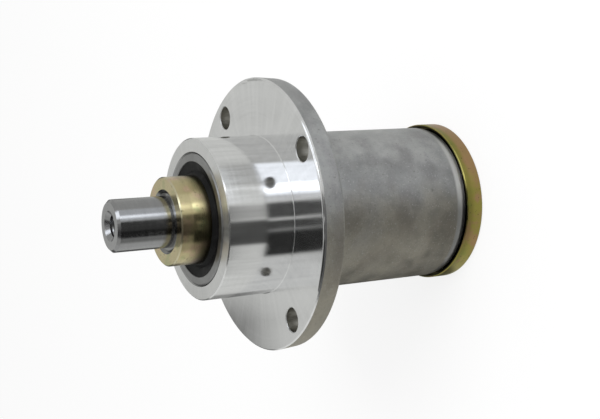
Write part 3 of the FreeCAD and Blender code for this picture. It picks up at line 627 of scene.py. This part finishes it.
# Threads in the shaft's two ends
PULLEY_PITCH = 0.00195
BLADE_PITCH = 0.00231
THREAD_DEPTH = 0.0005
THREAD_ROOT = 0.00004
STEPS_A_TURN = 48
TAPER_TURNS = 0.4
END_SHARE = 0.1
ROOT_HALF = 0.42
CREST_HALF = 0.10


def add_thread(name, bore, pitch, start, end):
    """A right-handed ridge wound on a bore's wall from one height up to another. It tapers out at each
    end, and its root and crest are shares of the pitch wide."""
    turns = (end - start) / pitch
    steps = int(turns * STEPS_A_TURN)
    vertices, faces = [], []
    for step in range(steps + 1):
        turn = 2 * math.pi * step / STEPS_A_TURN
        middle = start + pitch * step / STEPS_A_TURN
        from_end = min(step, steps - step) / STEPS_A_TURN
        root = bore + THREAD_ROOT
        crest = bore - THREAD_DEPTH * min(1.0, END_SHARE + from_end / TAPER_TURNS)
        profile = (root, -ROOT_HALF), (crest, -CREST_HALF), (crest, CREST_HALF), (root, ROOT_HALF)
        for radius, share in profile:
            vertices.append((radius * math.cos(turn), radius * math.sin(turn), middle + share * pitch))
    for step in range(steps):
        first = 4 * step
        for corner in range(4):
            after = (corner + 1) % 4
            faces.append((first + corner, first + after, first + 4 + after, first + 4 + corner))
    faces.append((3, 2, 1, 0))
    last = 4 * steps
    faces.append((last, last + 1, last + 2, last + 3))
    ridge = add_object(name, vertices, faces, finishes["ground_steel"])
    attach(ridge, "shaft")


def thread_hole(name, hole, pitch):
    """Threads a hole of the shaft from half a pitch inside its mouth to a pitch short of its bottom."""
    middle = mounts[hole]["pos_m"][2]
    half = mount_size(hole, "length_mm") / 2
    opens_up = mounts[hole]["axis"][2] > 0
    below, above = (pitch, pitch / 2) if opens_up else (pitch / 2, pitch)
    add_thread(name, mount_size(hole, "r_mm"), pitch, middle - half + below, middle + half - above)


thread_hole("pulley_thread", "pulley_bolt_hole", PULLEY_PITCH)
thread_hole("blade_thread", "blade_bolt_hole", BLADE_PITCH)

# Studio: a pale cloth tent round the part. Its wall and its floor show in gloss alone, and each has
# a few plain panels with soft edges. A panel lies between two azimuths, and between two heights on
# the wall or two radii on the floor.
TENT_RADIUS = 0.356
TENT_TOP = 1.2
TENT_STEPS = 120
TENT_LEVEL = 0.66
CAP_CLEARANCE = 0.001
CLOTH_LIFT = 0.0005
WARM_CLOTH = (0.99, 1.0, 0.97)
COOL_DAYLIGHT = (0.94, 0.98, 1.03)
WALL_PANELS = {
    # name: (level, azimuths, heights, soft edge in degrees, soft edge in metres)
    "pale_side": (0.80, (143, 224), (-0.2, 0.35), 3.0, 0.05),
    "low_side": (0.34, (-157, -132), (-0.2, 0.03), 9.0, 0.03),
    "black_high": (0.10, (-155, -72), (0.24, 1.1), 4.0, 0.05),
    "grey_high": (0.12, (-100, -60), (0.36, 1.1), 4.0, 0.05),
    "flag": (0.09, (-133, -60), (-0.2, 0.34), 1.5, 0.03),
    "black_flag": (0.03, (-130, -101), (-0.2, 0.34), 1.0, 0.03),
    "slit": (0.30, (-98, -95), (0.0, 0.34), 1.0, 0.03),
    "bright_slit": (0.62, (-84, -80), (0.0, 0.34), 1.0, 0.03),
    "window_edge": (0.90, (-58, -45), (0.02, 0.30), 1.5, 0.03),
    "window": (1.55, (-50, -1), (0.02, 0.28), 1.5, 0.03),
    "window_foot": (1.05, (-58, -6), (-0.2, 0.02), 3.0, 0.02),
    "softbox": (3.0, (-46, -34), (-0.085, 0.30), 1.5, 0.005),
    "softbox_top": (2.8, (-24, 24), (0.52, 0.95), 4.0, 0.04),
    "grey_card": (0.15, (118, 150), (-0.2, 0.16), 4.0, 0.03),
    "dark_card": (0.12, (72, 108), (-0.06, 0.08), 6.0, 0.03),
}
FLOOR_PANELS = {
    "floor_flag": (0.08, (-113, -81), (0.20, 0.4), 3.0, 0.03),
    "floor_flag_side": (0.45, (-79, -61), (0.06, 0.4), 3.0, 0.01),
    "floor_grey": (0.30, (-113, -77), (0.06, 0.20), 4.0, 0.01),
    "floor_bright": (0.90, (-63, -36), (0.06, 0.28), 4.0, 0.01),
    "floor_side": (0.47, (-32, 0), (0.20, 0.4), 4.0, 0.03),
    "floor_back": (0.28, (108, 152), (0.20, 0.4), 6.0, 0.03),
    # These three dark panels next to the part paint the shade on the floor close to it
    "floor_shade_back_near": (0.10, (135, 190), (0.02, 0.18), 8.0, 0.02),
    "floor_contact_shade": (0.25, (-143, -78), (0.054, 0.066), 8.0, 0.003),
    "floor_shade_under": (0.12, (-190, -145), (0.02, 0.066), 6.0, 0.006),
}


def paint_tent(name, panels, across_of):
    """One glowing cloth with its panels, each laid over the ones before it."""
    look = Look(name)
    radius, height, outward = look.cylindrical()
    across = {"height": height, "radius": radius}[across_of]
    folds = look.noise(outward, 34.0, 3.0, 0.6)
    level = TENT_LEVEL
    for strength, azimuths, spans, soft_turn, soft_across in panels.values():
        middle = math.radians(sum(azimuths) / 2)
        half = math.radians(azimuths[1] - azimuths[0]) / 2
        soft = math.radians(soft_turn)
        off = look.math("ARCCOSINE", look.facing((math.cos(middle), math.sin(middle), 0)))
        cover = look.product(look.fade(off, half + soft, half - soft),
                             look.fade(across, spans[0] - soft_across, spans[0] + soft_across),
                             look.fade(across, spans[1] + soft_across, spans[1] - soft_across))
        level = look.blend(cover, level, strength)
    colour = look.mix(look.fade(level, 0.7, 1.2), WARM_CLOTH, COOL_DAYLIGHT)
    level = look.product(level, look.stretch(folds, 0.86, 1.10))
    return look.close(look.node("ShaderNodeEmission", {"Color": colour, "Strength": level}))


def add_tent(name, rims, material):
    """A cloth that only gloss sees, spun round the axis between two rims, each a radius and a height."""
    vertices, faces = [], []
    for step in range(TENT_STEPS):
        turn = 2 * math.pi * step / TENT_STEPS
        for radius, height in rims:
            vertices.append((radius * math.cos(turn), radius * math.sin(turn), height))
    for step in range(TENT_STEPS):
        first = 2 * step
        after = 2 * ((step + 1) % TENT_STEPS)
        faces.append((first, first + 1, after + 1, after))
    made = add_object(name, vertices, faces, material)
    for ray in ("camera", "diffuse", "transmission", "volume_scatter", "shadow"):
        setattr(made, "visible_" + ray, False)


add_tent("tent_wall", ((TENT_RADIUS, FLOOR), (TENT_RADIUS, TENT_TOP)),
         paint_tent("tent_wall", WALL_PANELS, "height"))
cloth_height = FLOOR + CLOTH_LIFT
add_tent("tent_floor", ((CAP_RADIUS + CAP_CLEARANCE, cloth_height), (TENT_RADIUS, cloth_height)),
         paint_tent("tent_floor", FLOOR_PANELS, "radius"))

# Floor, sky and lamp
WHITE = (1.0, 1.0, 1.0)
PAPER = (0.9, 0.9, 0.9)
PAPER_GLOW = 0.8
FLOOR_HALF = 6.0
SKY_LIGHT = 0.75
SKY_WHITE = 1.0


def studio_floor():
    """White paper for the camera, with a faint shadow of the part, and a plain glow for gloss."""
    look = Look("studio_floor")
    ray = look.node("ShaderNodeLightPath").outputs
    paper = look.node("ShaderNodeBsdfDiffuse", {"Color": PAPER})
    white = look.node("ShaderNodeEmission", {"Color": WHITE, "Strength": SKY_WHITE})
    glow = look.node("ShaderNodeEmission", {"Color": WHITE, "Strength": TENT_LEVEL})
    seen = look.node("ShaderNodeMixShader", {0: look.product(ray["Is Camera Ray"], PAPER_GLOW),
                                             1: paper.outputs[0], 2: white.outputs[0]})
    for_gloss = look.math("MAXIMUM", ray["Is Glossy Ray"], ray["Is Transmission Ray"])
    both = look.node("ShaderNodeMixShader", {0: for_gloss, 1: seen.outputs[0], 2: glow.outputs[0]})
    return look.close(both)


corners = [(-FLOOR_HALF, -FLOOR_HALF), (FLOOR_HALF, -FLOOR_HALF), (FLOOR_HALF, FLOOR_HALF),
           (-FLOOR_HALF, FLOOR_HALF)]
floor = add_object("floor", [(x, y, FLOOR) for x, y in corners], [(0, 1, 2, 3)], studio_floor())


def studio_sky():
    """White behind the part for the camera, and soft light from all round for the part."""
    world = bpy.data.worlds.new("studio")
    world.use_nodes = True
    tree = world.node_tree
    tree.nodes.clear()
    path = tree.nodes.new("ShaderNodeLightPath")
    mixed = tree.nodes.new("ShaderNodeMixShader")
    out = tree.nodes.new("ShaderNodeOutputWorld")
    tree.links.new(path.outputs["Is Camera Ray"], mixed.inputs[0])
    for number, strength in ((1, SKY_LIGHT), (2, SKY_WHITE)):
        sky = tree.nodes.new("ShaderNodeBackground")
        sky.inputs["Color"].default_value = (*WHITE, 1.0)
        sky.inputs["Strength"].default_value = strength
        tree.links.new(sky.outputs[0], mixed.inputs[number])
    tree.links.new(mixed.outputs[0], out.inputs["Surface"])
    bpy.context.scene.world = world


def add_lamp(name, place, target, side, power):
    """A square softbox that lights the rough surfaces. The tent is what gloss shows."""
    lamp = bpy.data.lights.new(name, "AREA")
    lamp.shape = "SQUARE"
    lamp.size = side
    lamp.energy = power
    made = bpy.data.objects.new(name, lamp)
    made.location = place
    made.rotation_euler = (Vector(target) - Vector(place)).to_track_quat("-Z", "Y").to_euler()
    made.visible_glossy = False
    bpy.context.scene.collection.objects.link(made)


studio_sky()
add_lamp("key", place=(0.9, -0.5, 1.0), target=(0, 0, -0.02), side=0.9, power=16)

# Camera, where it stood for the photo
FOCAL_PIXELS = 1076.5
PICTURE_WIDTH = 600
SENSOR = 36.0
CLIP_START = 0.01
CAMERA_PLACE = (0.1371, -0.4689, 0.2433)
RIGHT = Vector((0.0572, -0.4832, -0.8736))
UP = Vector((0.9679, 0.2413, -0.0701))
BACK = Vector((0.2447, -0.8416, 0.4815))
camera_data = bpy.data.cameras.new("camera")
camera_data.sensor_width = SENSOR
camera_data.lens = FOCAL_PIXELS / PICTURE_WIDTH * SENSOR
camera_data.clip_start = CLIP_START
camera = bpy.data.objects.new("camera", camera_data)
turned = Matrix((RIGHT, UP, BACK)).transposed().to_4x4()
camera.matrix_world = Matrix.Translation(CAMERA_PLACE) @ turned
bpy.context.scene.collection.objects.link(camera)
bpy.context.scene.camera = camera
bpy.context.scene.view_settings.view_transform = "Standard"
